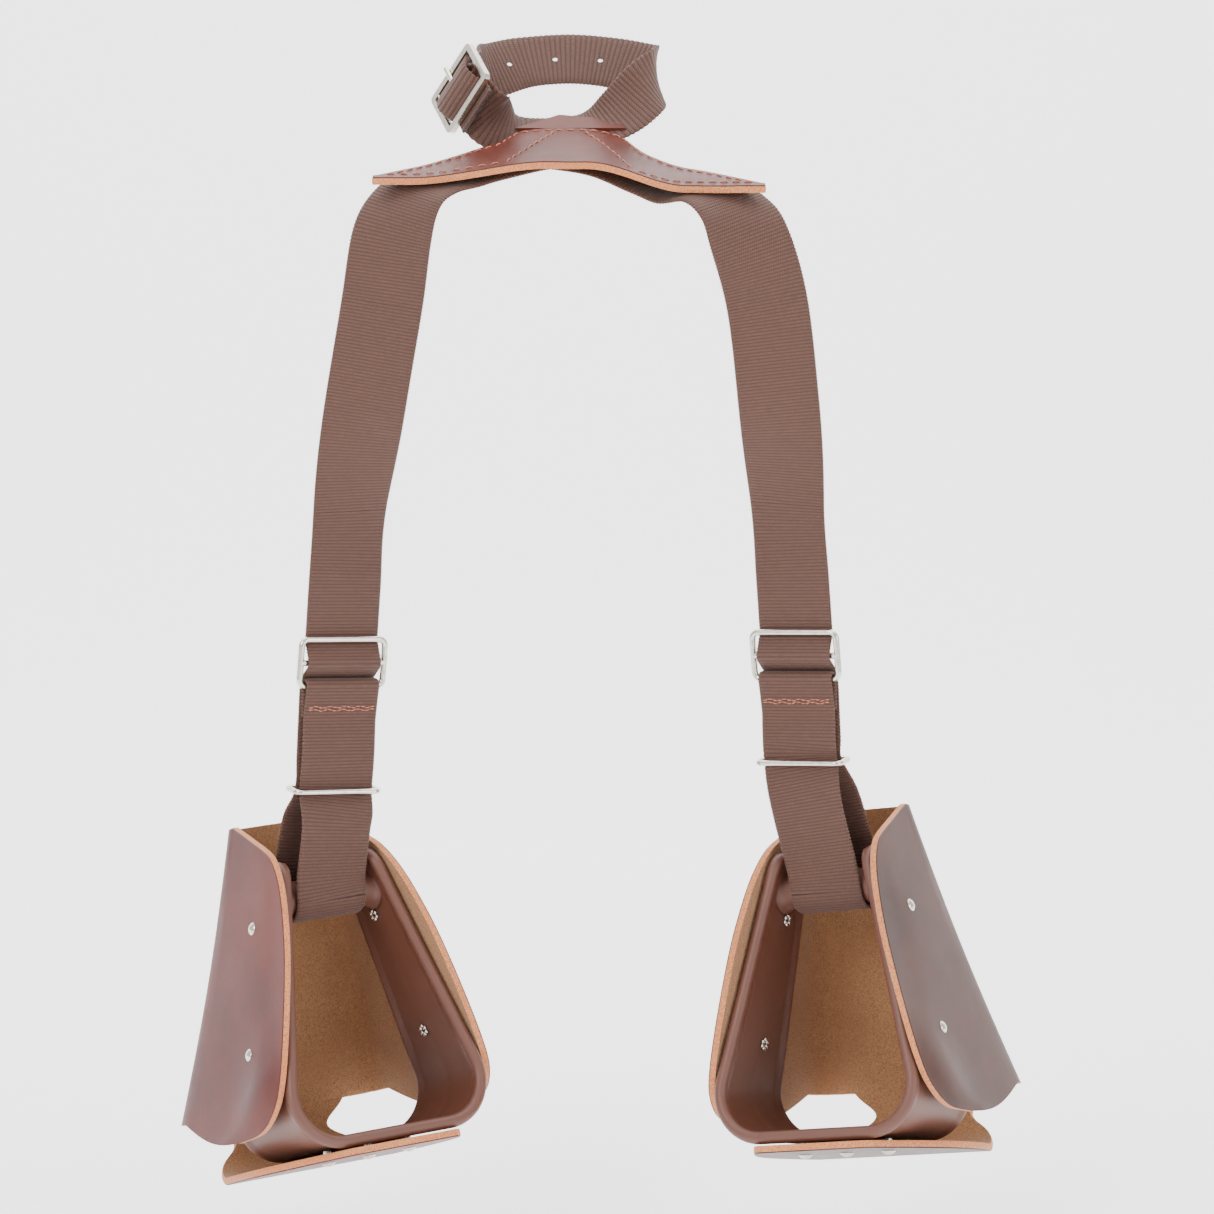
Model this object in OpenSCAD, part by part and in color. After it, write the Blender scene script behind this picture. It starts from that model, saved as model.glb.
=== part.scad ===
// Hooded stirrups for a child, hung from the horn of a western saddle by a strap yoke.
// Millimetres. +X is towards the right stirrup, -Y is the open front of the hoods, +Z is up.
// The origin is the middle of the loop that goes round the saddle horn.

/* [Webbing] */
// Width of the long stirrup straps
strap_width = 44.5; // [38:0.5:50]
// Thickness of the long stirrup straps
strap_thick = 2.4; // [1.8:0.1:3]
// Width of the strap that goes round the horn
horn_strap_width = 31.8; // [24:0.2:36]
// Thickness of the strap that goes round the horn
horn_strap_thick = 2.2; // [1.6:0.1:2.6]

/* [Yoke leather] */
// Length of the leather from tip to tip
yoke_length = 212; // [190:1:240]
// Thickness of the leather
leather_thick = 4.2; // [3:0.1:5]

/* [Stirrup frame] */
// Height from the tread to the middle of the crossbar
stirrup_height = 135; // [112:1:165]
// Inside width at the tread, corner to corner
tread_width = 128; // [110:1:150]
// Inside width between the tops of the two ears
neck_width = 50; // [48:1:60]
// Front to back depth at the tread
tread_depth = 74; // [60:1:90]
// Front to back depth at the ears
neck_depth = 38; // [32:1:46]
// Wall of the moulded frame
frame_wall = 4.2; // [3:0.1:5]
// Radius of the rounded rim along the frame's edges
rim_radius = 4.2; // [3.6:0.1:5.2]
// Inside radius of the two lower corners
corner_radius = 24; // [16:1:30]
// Diameter of the crossbar that the strap runs round
crossbar_diameter = 20; // [14:1:22]

/* [Hood] */
// How far the toe of the hood stands behind the middle of the tread
hood_reach = 94; // [78:1:115]
// Height of the hood above the tread at the toe
hood_height = 182; // [160:1:215]

/* [Hardware] */
// Wire of the slides
slide_wire = 3.6; // [3:0.1:4.4]
// Wire of the rectangular keepers
keeper_wire = 3.2; // [2.4:0.1:4]
// Diameter of the rivet shanks
rivet_shank = 4.2; // [3:0.1:5]
// Diameter of the rivet heads
rivet_head = 8; // [6.4:0.2:10]

/* [Hidden] */
$fn = 40;
fit = 0.3;

// Half of the small gap where a webbing piece can turn against the next one
seam = 0.9;

LEFT = 0;
RIGHT = 1;

// How each side hangs: middle of the crossbar, its turn and tilt, and the stirrup's toe-down pitch
crossbar_at = [[-138, -88, -449], [147, -88, -445]];
crossbar_yaw = [34, -29];
crossbar_roll = [0, -11];
stirrup_pitch = [-21, -16];

// Middle of each slide, and the turn and tilt of the strap that it grips
slide_at = [[-125, -82, -319], [124, -82, -315]];
slide_yaw = [28, -26];
slide_roll = [5, -5];

// Where the keeper sits along the loop, measured down from the slide
keeper_drop = [71, 59];

web = strap_width / 2;

// Middle to middle distance of the loop's two layers, and of the slide's neighbouring bars
layer_gap = 6.6;
slide_half = 13;

// How far a strap's middle runs from the middle of a bar that it turns round, and round a sewn end
bar_round = slide_wire / 2 + fit + strap_thick / 2;
outer_round = bar_round + fit + strap_thick;

// Where the strap divides: above the slide, below the slide, and at the foot of the sewn end
hinge_rise = 84;
slide_reach = slide_half + 6;
sewn_length = 32;
front_layer_y = -1.6;

wrap_radius = crossbar_diameter / 2 + strap_thick / 2 + 2 * fit;

// ---- Vectors, turns and smooth routes ----

function unit(v) = v / norm(v);
function turn_x(a, v) = [v[0], v[1] * cos(a) - v[2] * sin(a), v[1] * sin(a) + v[2] * cos(a)];
function turn_y(a, v) = [v[0] * cos(a) + v[2] * sin(a), v[1], -v[0] * sin(a) + v[2] * cos(a)];
function turn_z(a, v) = [v[0] * cos(a) - v[1] * sin(a), v[0] * sin(a) + v[1] * cos(a), v[2]];
function hang(yaw, roll, v) = turn_z(yaw, turn_y(roll, v));
function slide_point(s, v) = slide_at[s] + hang(slide_yaw[s], slide_roll[s], v);
function slide_way(s) = hang(slide_yaw[s], slide_roll[s], [1, 0, 0]);
function bar_point(s, v) = crossbar_at[s] + hang(crossbar_yaw[s], crossbar_roll[s], v);
function bar_way(s) = hang(crossbar_yaw[s], crossbar_roll[s], [1, 0, 0]);

// A route is a list of [point, width direction]; smooth() threads a curve through it
function spline(a, b, c, d, t) =
    0.5 * (2 * b + (c - a) * t + (2 * a - 5 * b + 4 * c - d) * t * t + (3 * b - a - 3 * c + d) * t * t * t);
function pick(list, i) = list[max(0, min(len(list) - 1, i))];
function smooth_at(route, i, t) = [
    for (k = [0, 1])
        spline(pick(route, i - 1)[k], pick(route, i)[k], pick(route, i + 1)[k], pick(route, i + 2)[k], t)
];
function smooth(route, steps) = concat(
    [for (i = [0:len(route) - 2], k = [0:steps - 1]) smooth_at(route, i, k / steps)],
    [route[len(route) - 1]]
);
function tangent(route, i) = unit(pick(route, i + 1)[0] - pick(route, i - 1)[0]);
function square_to(w, t) = unit(w - t * (w * t));

// Flat webbing of rectangular section along a route, or along the part of it from one ring to another.
// Where the route is cut there, each piece stands back by half a seam.
module band(route, width, thick, from = 0, to = undef) {
    end = is_undef(to) ? len(route) - 1 : to;
    rings = [
        for (i = [from:end])
            let (t = tangent(route, i), w = square_to(route[i][1], t), n = cross(t, w),
                back = i == end && end < len(route) - 1 ? -seam : i == from && from > 0 ? seam : 0,
                p = route[i][0] + t * back)
            for (c = [[-1, -1], [1, -1], [1, 1], [-1, 1]])
                p + w * c[0] * width / 2 + n * c[1] * thick / 2
    ];
    last = 4 * (end - from);
    polyhedron(
        points = rings,
        faces = concat(
            [[3, 2, 1, 0], [last, last + 1, last + 2, last + 3]],
            [for (i = [0:end - from - 1], k = [0:3])
                [4 * i + k, 4 * i + (k + 1) % 4, 4 * i + 4 + (k + 1) % 4]],
            [for (i = [0:end - from - 1], k = [0:3])
                [4 * i + k, 4 * i + 4 + (k + 1) % 4, 4 * i + 4 + k]]
        ),
        convexity = 6
    );
}

// ---- Yoke: leather over two crossed webbings, seen from above as a long low triangle ----

yoke_front = -87;
yoke_rear = -18;
yoke_slope = 0.153;
yoke_droop = [8.8, 13];
// How far out from the middle each side reaches its full droop
droop_reach = [88, 64];
crown_half = 8;
cross_at = [0, -41];
cross_angle = 22;

function ease(t) = let (u = max(0, min(1, t))) u * u * (3 - 2 * u);
function yoke_top(x, y) =
    let (s = x < 0 ? LEFT : RIGHT)
    -31.3 + yoke_slope * (y - yoke_rear)
    - yoke_droop[s] * ease((abs(x) - crown_half) / (droop_reach[s] - crown_half));

// Rear edge of the leather: a straight tab in the middle, a step down, then a slope to each tip
tab_half = 28;
step_half = 39;
step_back = 21;
function yoke_rear_at(x) =
    abs(x) < tab_half ? yoke_rear
    : abs(x) < step_half ? yoke_rear - step_back * (abs(x) - tab_half) / (step_half - tab_half)
    : yoke_rear - step_back
        - (yoke_rear - step_back - yoke_front - 3) * pow((abs(x) - step_half) / (yoke_length / 2 - step_half), 1.25);

module yoke_leather() {
    across = 34;
    deep = 5;
    cols = [for (i = [0:across]) yoke_length * (i / across - 0.5)];
    function at(x, j) = let (y = yoke_front + (yoke_rear_at(x) - yoke_front) * j / deep) [x, y, yoke_top(x, y)];
    top = [for (x = cols, j = [0:deep]) at(x, j)];
    under = [for (p = top) p - [0, 0, leather_thick]];
    n = deep + 1;
    total = len(top);
    color([0.45, 0.22, 0.16])
        polyhedron(
            points = concat(top, under),
            faces = concat(
                [for (i = [0:across - 1], j = [0:deep - 1])
                    [i * n + j, i * n + j + 1, (i + 1) * n + j + 1, (i + 1) * n + j]],
                [for (i = [0:across - 1], j = [0:deep - 1])
                    [total + (i + 1) * n + j, total + (i + 1) * n + j + 1,
                        total + i * n + j + 1, total + i * n + j]],
                [for (i = [0:across - 1], e = [0, deep])
                    e == 0
                        ? [i * n, (i + 1) * n, total + (i + 1) * n, total + i * n]
                        : [total + i * n + deep, total + (i + 1) * n + deep, (i + 1) * n + deep, i * n + deep]],
                [for (j = [0:deep - 1]) [total + j, total + j + 1, j + 1, j]],
                [for (j = [0:deep - 1])
                    [across * n + j, across * n + j + 1, total + across * n + j + 1, total + across * n + j]]
            ),
            convexity = 4
        );
}

// The tab behind the leather: a thin roof-shaped piece that covers where the horn strap is sewn down
tab_thick = 2;
module yoke_tab() {
    tab_edge = [[-30, -20], [-6, -3], [26, -9], [31, -22], [0, -30]];
    lift = 0.42;
    color([0.36, 0.2, 0.15])
        translate([0, -18, -31])
            rotate([atan(lift), 0, 0])
                translate([0, 18, -tab_thick])
                    linear_extrude(tab_thick)
                        polygon([for (p = tab_edge) p[1] < -18 ? [p[0], -18.5] : p]);
}

// ---- Straps from the yoke down to the slides ----

// Depth of each webbing's middle below the leather's top where they cross
under_leather = [leather_thick + 2 * fit + horn_strap_thick + strap_thick / 2,
    leather_thick + 3 * fit + horn_strap_thick + strap_thick * 1.5];
arm_sign = [-1, 1];
arm_back = 43;

function arm_xy(s, d) = cross_at + d * [arm_sign[s] * cos(cross_angle), -sin(cross_angle)];
function arm_point(s, d) = let (p = arm_xy(s, d)) [p[0], p[1], yoke_top(p[0], p[1]) - under_leather[s]];

// Width directions: the front edge on the yoke becomes the inner edge of the hanging strap
function arm_edge(s) = [-arm_sign[s] * sin(cross_angle), -cos(cross_angle), -0.15];
strap_steps = 4;
bend_station = 7;
swing_station = 9;
lower_station = 11;
function strap_line(s) = smooth(concat(
    [for (d = [-arm_back, -20, 0, 22, 44, 60]) [arm_point(s, d), arm_edge(s)]],
    [
        [[arm_sign[s] * 73, -74, -54 - 4.5 * s], [-arm_sign[s] * 0.55, -0.83, -0.2]],
        [[arm_sign[s] * 86, -86, -61 - 3.5 * s], [-arm_sign[s] * 0.8, -0.58, -0.15]],
        [[arm_sign[s] * (95 + s), -94.5, -80], [-arm_sign[s] * 0.98, -0.2, 0.02]],
        [[arm_sign[s] * (101 + 6 * s), -96, -118], [-arm_sign[s], 0, 0.12]],
        [[arm_sign[s] * (111 + 3 * s), -93, -176], [-arm_sign[s], 0, 0.1]],
        [slide_point(s, [0, 4, hinge_rise]), -arm_sign[s] * slide_way(s)],
        [slide_point(s, [0, bar_round + 0.4, hinge_rise / 2]), -arm_sign[s] * slide_way(s)],
        [slide_point(s, [0, bar_round, slide_reach]), -arm_sign[s] * slide_way(s)]
    ]
), strap_steps);

module strap_piece(s, from, to) {
    color([0.43, 0.28, 0.22])
        band(strap_line(s), strap_width, strap_thick, from * strap_steps, to * strap_steps);
}

module yoke_webbing(s) {
    strap_piece(s, 0, bend_station);
}

module strap_bend(s) {
    strap_piece(s, bend_station, swing_station);
}

module strap(s) {
    strap_piece(s, swing_station, lower_station);
}

module strap_lower(s) {
    difference() {
        strap_piece(s, lower_station, lower_station + 2);
        slide_zone(s, slide_reach - 20 + seam, slide_reach + seam);
    }
}

// Everything between two heights of the slide, for trimming the webbing that meets it
module slide_zone(s, low, high) {
    in_slide(s)
        translate([-2 * web, -20, low])
            cube([4 * web, 40, high - low]);
}

// ---- Slide: the strap rolls over the middle bar, and its own end is sewn round the bottom bar ----

module in_slide(s) {
    translate(slide_at[s])
        rotate([0, slide_roll[s], slide_yaw[s]])
            children();
}

module in_bar(s) {
    translate(crossbar_at[s])
        rotate([0, crossbar_roll[s], crossbar_yaw[s]])
            children();
}

// A closed rectangle of round wire in the XZ plane, measured on the wire's middle line
module wire_rectangle(half_x, half_z, wire, bend) {
    for (m = [-1, 1]) {
        translate([-(half_x - bend), 0, m * half_z])
            rotate([0, 90, 0])
                cylinder(d = wire, h = 2 * (half_x - bend));
        translate([m * half_x, 0, -(half_z - bend)])
            cylinder(d = wire, h = 2 * (half_z - bend));
    }
    for (c = [[1, 1, 0], [-1, 1, 90], [-1, -1, 180], [1, -1, 270]])
        translate([c[0] * (half_x - bend), 0, c[1] * (half_z - bend)])
            rotate([90, 0, 0])
                rotate([0, 0, c[2]])
                    rotate_extrude(angle = 90)
                        translate([bend, 0])
                            circle(d = wire);
}

slide_half_x = web + 1.2 + slide_wire / 2;

module slide_frame(s) {
    color([0.8, 0.79, 0.75])
        in_slide(s) {
            wire_rectangle(slide_half_x, slide_half, slide_wire, 4);
            translate([-slide_half_x, 0, 0])
                rotate([0, 90, 0])
                    cylinder(d = slide_wire, h = 2 * slide_half_x);
        }
}

// Points on an arc about the bar at height z of the slide: 0 degrees is its front, 90 its top
function round_bar(s, z, radius, from, to, count) = [
    for (i = [0:count]) let (a = from + (to - from) * i / count)
        [slide_point(s, [0, -radius * cos(a), z + radius * sin(a)]), slide_way(s)]
];
function slide_run(s, points) = [for (p = points) [slide_point(s, [0, p[0], p[1]]), slide_way(s)]];

// The running strap: behind the top bar, over the middle bar and behind the sewn end
module strap_roll(s) {
    upper_turn = asin(2 * bar_round / slide_half);
    lower_turn = asin((bar_round + outer_round) / slide_half);
    color([0.43, 0.28, 0.22])
        band(concat(
            slide_run(s, [[bar_round, slide_reach]]),
            round_bar(s, slide_half, bar_round, 180, 180 + upper_turn, 2),
            round_bar(s, 0, bar_round, upper_turn, -lower_turn, 6),
            round_bar(s, -slide_half, outer_round, 180 - lower_turn, 180, 3),
            slide_run(s, [[outer_round, -slide_reach]])
        ), strap_width, strap_thick);
}

// The end of the strap: up the front, over the bottom bar, and doubled down behind itself
module sewn_end(s) {
    step_z = -slide_half - 8;
    doubled_y = front_layer_y + strap_thick + 0.1;
    color([0.43, 0.28, 0.22])
        band(concat(
            slide_run(s, [[front_layer_y, -sewn_length], [front_layer_y - 0.8, step_z]]),
            round_bar(s, -slide_half, bar_round, 0, 180, 8),
            slide_run(s, [[doubled_y + 1.2, step_z], [doubled_y, -sewn_length + 2]])
        ), strap_width, strap_thick);
}

// ---- Loop below the slide: front layer, half turn round the crossbar, back layer ----

function keeper_point(s, y) = slide_point(s, [0, y, -keeper_drop[s]]);
function loop_front_route(s) = [
    [slide_point(s, [0, front_layer_y, -sewn_length]), slide_way(s)],
    [slide_point(s, [0, -layer_gap / 2, -(sewn_length + keeper_drop[s]) / 2]), slide_way(s)],
    [keeper_point(s, -layer_gap / 2), slide_way(s)],
    [(keeper_point(s, -layer_gap / 2 - 6) + bar_point(s, [0, -wrap_radius - 2, 26])) / 2, bar_way(s)],
    [bar_point(s, [0, -wrap_radius, 14]), bar_way(s)],
    [bar_point(s, [0, -wrap_radius, 0]), bar_way(s)]
];
function loop_back_route(s) = [
    [slide_point(s, [0, outer_round, -slide_reach]), slide_way(s)],
    [slide_point(s, [0, layer_gap / 2 + 0.8, -(sewn_length + keeper_drop[s]) / 2]), slide_way(s)],
    [keeper_point(s, layer_gap / 2), slide_way(s)],
    [(keeper_point(s, layer_gap / 2 + 6) + bar_point(s, [0, wrap_radius + 2, 26])) / 2, bar_way(s)],
    [bar_point(s, [0, wrap_radius, 14]), bar_way(s)],
    [bar_point(s, [0, wrap_radius, 0]), bar_way(s)]
];

module loop_front(s) {
    color([0.43, 0.28, 0.22])
        difference() {
            band(smooth(loop_front_route(s), 5), strap_width, strap_thick);
            slide_zone(s, -sewn_length - seam, 0);
            below_bar(s);
        }
}

module loop_back(s) {
    color([0.3, 0.19, 0.15])
        difference() {
            band(smooth(loop_back_route(s), 5), strap_width, strap_thick);
            slide_zone(s, -slide_reach - seam, 0);
            below_bar(s);
        }
}

// The space the half turn takes up, below the crossbar's middle
module below_bar(s) {
    in_bar(s)
        translate([-2 * web, -3 * wrap_radius, -3 * wrap_radius])
            cube([4 * web, 6 * wrap_radius, 3 * wrap_radius]);
}

module loop_wrap(s) {
    color([0.4, 0.26, 0.2])
        in_bar(s)
            translate([-web, 0, 0])
                rotate([0, 90, 0])
                    intersection() {
                        difference() {
                            cylinder(r = wrap_radius + strap_thick / 2, h = strap_width);
                            translate([0, 0, -1])
                                cylinder(r = wrap_radius - strap_thick / 2, h = strap_width + 2);
                        }
                        translate([0, -2 * wrap_radius, 0])
                            cube([3 * wrap_radius, 4 * wrap_radius, strap_width]);
                    }
}

module keeper(s) {
    keeper_half = layer_gap / 2 + strap_thick / 2 + 1 + keeper_wire / 2;
    color([0.8, 0.79, 0.75])
        in_slide(s)
            translate([0, 0, -keeper_drop[s]])
                rotate([90, 0, 0])
                    wire_rectangle(web + 1 + keeper_wire / 2, keeper_half, keeper_wire, 3);
}

// ---- Stirrup frame: a moulded band with a rim along both edges and a round crossbar ----

ear_top = stirrup_height + 21;
side_lean = atan((tread_width - neck_width) / 2 / ear_top);
side_tan = tan(side_lean);
corner_x = tread_width / 2 - corner_radius / tan((90 - side_lean) / 2);
edge_lean = atan((tread_depth - neck_depth) / 2 / ear_top);
function side_x(z, out) = tread_width / 2 - z * side_tan + out / cos(side_lean);

// The rim stands proud of the wall's inner face by this much, and about as much outside
rim_proud = 2.1;
rim_middle = rim_radius - rim_proud;
rim_out = rim_middle + rim_radius;

// Outline of the frame at a distance outside its inner wall: two round lower corners and two ears
function corner_arc(m, r) = [
    for (i = [0:12]) let (turn = (90 + side_lean) * (m < 0 ? 1 - i / 12 : i / 12), a = -90 + m * turn)
        [m * corner_x + r * cos(a), corner_radius + r * sin(a)]
];
module frame_outline(out, top) {
    r = corner_radius + out;
    polygon(concat(
        corner_arc(-1, r), corner_arc(1, r),
        [[side_x(top, out), top], [-side_x(top, out), top]]
    ));
}

// Side view of the frame: deep at the tread, shallow at the ears, with rounded ear tops
module frame_side_view() {
    ear_round = 12;
    half_low = tread_depth / 2;
    half_high = neck_depth / 2;
    slope = tan(edge_lean);
    polygon([
        [-half_low - 9 * slope, -9], [half_low + 9 * slope, -9],
        [half_high + ear_round * slope, ear_top - ear_round], [half_high - ear_round, ear_top],
        [-half_high + ear_round, ear_top], [-half_high - ear_round * slope, ear_top - ear_round]
    ]);
    for (m = [-1, 1])
        translate([m * (half_high - ear_round), ear_top - ear_round])
            circle(ear_round);
}

// Rounded rim that follows the outline in a plane leaning with the frame's edge
module rim() {
    r = corner_radius + rim_middle;
    side_start = corner_radius + r * sin(side_lean);
    side_long = (ear_top - 9 - side_start) / cos(side_lean);
    translate([-corner_x, 0, -rim_middle])
        rotate([0, 90, 0])
            cylinder(r = rim_radius, h = 2 * corner_x);
    for (m = [0, 1])
        mirror([m, 0, 0]) {
            translate([corner_x, 0, corner_radius])
                rotate([90, 0, 0])
                    rotate([0, 0, -90])
                        rotate_extrude(angle = 90 + side_lean, $fn = 72)
                            translate([r, 0])
                                circle(rim_radius, $fn = 28);
            translate([corner_x + r * cos(side_lean), 0, side_start])
                rotate([0, -side_lean, 0])
                    cylinder(r = rim_radius, h = side_long);
            translate([corner_x + r * cos(side_lean), 0, side_start])
                rotate([0, -side_lean, 0])
                    translate([0, 0, side_long])
                        sphere(rim_radius);
        }
}

// Side rivets: heights on the wall; tread rivets: places across the tread
side_rivet_z = [52, 120];
tread_rivet_x = [-26, 0, 26];
rivet_y = 3;
hood_out = rim_out + fit;
rivet_reach = hood_out + leather_thick + fit;

module at_side_rivets() {
    for (m = [0, 1], z = side_rivet_z)
        mirror([m, 0, 0])
            translate([side_x(z, 0), rivet_y, z])
                rotate([0, 90 - side_lean, 0])
                    children();
}

module at_tread_rivets() {
    for (x = tread_rivet_x)
        translate([x, rivet_y, 0])
            rotate([180, 0, 0])
                children();
}

module in_stirrup(s) {
    translate(crossbar_at[s])
        rotate([stirrup_pitch[s], crossbar_roll[s], crossbar_yaw[s]])
            translate([0, 0, -stirrup_height])
                children();
}

module stirrup_frame(s) {
    color([0.37, 0.22, 0.17])
        in_stirrup(s)
            difference() {
                union() {
                    intersection() {
                        rotate([90, 0, 0])
                            translate([0, 0, -tread_depth])
                                linear_extrude(2 * tread_depth)
                                    difference() {
                                        frame_outline(frame_wall, ear_top);
                                        frame_outline(0, ear_top + 1);
                                    }
                        rotate([90, 0, 90])
                            translate([0, 0, -tread_width])
                                linear_extrude(2 * tread_width)
                                    frame_side_view();
                    }
                    for (m = [0, 1])
                        mirror([0, m, 0])
                            translate([0, -tread_depth / 2, 0])
                                rotate([-edge_lean, 0, 0])
                                    rim();
                    translate([-side_x(stirrup_height, frame_wall / 2), 0, stirrup_height])
                        rotate([0, 90, 0])
                            cylinder(d = crossbar_diameter, h = 2 * side_x(stirrup_height, frame_wall / 2));
                }
                at_side_rivets()
                    translate([0, 0, -1])
                        cylinder(d = rivet_shank, h = frame_wall + 2);
                at_tread_rivets()
                    translate([0, 0, -1])
                        cylinder(d = rivet_shank, h = frame_wall + 2);
            }
}

// Tubular rivet: domed head outside, shank, and a clench of six split petals inside
module rivet() {
    dome = 5;
    cylinder(d = rivet_shank, h = rivet_reach);
    translate([0, 0, rivet_reach])
        intersection() {
            translate([0, 0, -dome + 1.9])
                sphere(dome);
            cylinder(d = rivet_head, h = 4);
        }
    for (a = [0:60:300])
        rotate([0, 0, a])
            translate([rivet_shank / 2 + 0.3, 0, -1.2])
                sphere(1.3, $fn = 20);
}

module side_rivets(s) {
    color([0.78, 0.74, 0.68])
        in_stirrup(s)
            at_side_rivets()
                rivet();
}

module tread_rivets(s) {
    color([0.78, 0.74, 0.68])
        in_stirrup(s)
            at_tread_rivets()
                rivet();
}

// ---- Hood: one leather piece, two sides and a toe wall, with a flap folded under the tread ----

// Height of the toe wall's foot, and how far back its top stands
hood_low = 27;
toe_top = 0.44 * hood_reach;
toe_slope = (hood_reach - toe_top) / (hood_height - hood_low);

// Front edge of a side panel, from the bottom up: [y, z]
front_edge = [
    [14, 9], [-10, 11], [-24, 20], [-31, 34], [-34, 62], [-34, 100],
    [-30, 126], [-24, 144], [-14, 158], [1, 167]
];
hood_rows = len(front_edge) - 1;
hood_scale = hood_height / 182;

function toe_y(z) = hood_reach - (z - hood_low) * toe_slope - 5 * sin(180 * (z - hood_low) / (hood_height - hood_low));
function toe_z(j) = hood_low + (hood_height - hood_low) * j / hood_rows;
function front_y(j) = front_edge[j][0];
function front_z(j) = front_edge[j][1] * hood_scale;

// Plan of one row: straight side, round toe corner, half of the toe wall. out is the offset outwards.
side_steps = 5;
panel_sag = 5;
corner_steps = 6;
wall_steps = 3;
function corner_r(j) = 15 - 5 * j / hood_rows;
function row_half(j, out) =
    let (r = corner_r(j), ty = toe_y(toe_z(j)))
    concat(
        [for (i = [0:side_steps])
            let (f = i / side_steps, y = front_y(j) + (ty - r - front_y(j)) * f,
                sag = panel_sag * sin(180 * f) * pow(1 - j / hood_rows, 4),
                z = front_z(j) + (toe_z(j) - front_z(j)) * f - sag)
            [side_x(z, hood_out + out), y, z]],
        [for (i = [1:corner_steps])
            let (a = 90 * i / corner_steps, z = toe_z(j))
            [side_x(z, hood_out) - r + (r + out) * cos(a), ty - r + (r + out) * sin(a), z]],
        [for (i = [1:wall_steps])
            let (z = toe_z(j))
            [(side_x(z, hood_out) - r) * (1 - i / wall_steps), ty + out, z]]
    );
function row(j, out) =
    let (half = row_half(j, out), n = len(half))
    concat(half, [for (i = [n - 2:-1:0]) [-half[i][0], half[i][1], half[i][2]]]);

module hood_walls() {
    per = 2 * (side_steps + corner_steps + wall_steps) + 1;
    rows = hood_rows + 1;
    inner = [for (j = [0:hood_rows]) each row(j, 0)];
    outer = [for (j = [0:hood_rows]) each row(j, leather_thick)];
    total = per * rows;
    polyhedron(
        points = concat(inner, outer),
        faces = concat(
            [for (j = [0:hood_rows - 1], i = [0:per - 2])
                [j * per + i, j * per + i + 1, (j + 1) * per + i + 1, (j + 1) * per + i]],
            [for (j = [0:hood_rows - 1], i = [0:per - 2])
                [total + (j + 1) * per + i, total + (j + 1) * per + i + 1,
                    total + j * per + i + 1, total + j * per + i]],
            [for (i = [0:per - 2]) [total + i, total + i + 1, i + 1, i]],
            [for (i = [0:per - 2], t = [hood_rows * per])
                [t + i, t + i + 1, total + t + i + 1, total + t + i]],
            [for (j = [0:hood_rows - 1]) [j * per, (j + 1) * per, total + (j + 1) * per, total + j * per]],
            [for (j = [0:hood_rows - 1], e = [per - 1])
                [total + j * per + e, total + (j + 1) * per + e, (j + 1) * per + e, j * per + e]]
        ),
        convexity = 8
    );
}

// The flap: down the toe wall, round a bend and forward under the tread
flap_inner_z = -hood_out;
toe_lean = atan(toe_slope);
bend_r = (hood_low - flap_inner_z) / (1 + sin(toe_lean));
bend_y = hood_reach - bend_r * cos(toe_lean);
bend_z = flap_inner_z + bend_r;
flap_front = -tread_depth / 2 - 2;
flap_front_half = 35;
flap_toe_half = side_x(hood_low, hood_out) - 4;
flap_neck_half = 50;

module flap_profile() {
    translate([bend_y, bend_z])
        intersection() {
            difference() {
                circle(bend_r + leather_thick, $fn = 96);
                circle(bend_r, $fn = 96);
            }
            polygon([
                [0, 0], [0, -2 * bend_r], [2 * bend_r, -2 * bend_r],
                [2 * bend_r, 2 * bend_r * tan(toe_lean + 12)]
            ]);
        }
    translate([flap_front, flap_inner_z - leather_thick])
        square([bend_y - flap_front, leather_thick]);
}

// Seen from above, the flap is narrow under the tread's front edge and wide at the toe
module flap() {
    widest_y = 30;
    high = 2 * bend_r;
    difference() {
        intersection() {
            rotate([90, 0, 90])
                translate([0, 0, -tread_width])
                    linear_extrude(2 * tread_width)
                        flap_profile();
            translate([0, 0, -high])
                linear_extrude(2 * high)
                    polygon([
                        [-flap_front_half, flap_front - 1], [flap_front_half, flap_front - 1],
                        [flap_toe_half, widest_y], [flap_toe_half - 2, bend_y - 14],
                        [flap_neck_half, bend_y + 6], [flap_neck_half, hood_reach + 2 * leather_thick],
                        [-flap_neck_half, hood_reach + 2 * leather_thick], [-flap_neck_half, bend_y + 6],
                        [-flap_toe_half + 2, bend_y - 14], [-flap_toe_half, widest_y]
                    ]);
        }
        for (m = [-1, 1])
            translate([m * moon_x, bend_y + 6, moon_z])
                rotate([-90, 0, 0])
                    cylinder(r = moon_r, h = hood_reach);
    }
}

// The half-moon left open at each lower toe corner
moon_x = 62;
moon_z = 6;
moon_r = 20;

module hood(s) {
    color(s == LEFT ? [0.38, 0.18, 0.16] : [0.3, 0.19, 0.17])
        in_stirrup(s)
            difference() {
                union() {
                    hood_walls();
                    flap();
                }
                at_side_rivets()
                    cylinder(d = rivet_shank, h = 2 * rivet_reach);
                at_tread_rivets()
                    cylinder(d = rivet_shank, h = 2 * rivet_reach);
            }
}

// ---- Horn strap: a ring round the horn, closed by a buckle on the left ----

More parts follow.
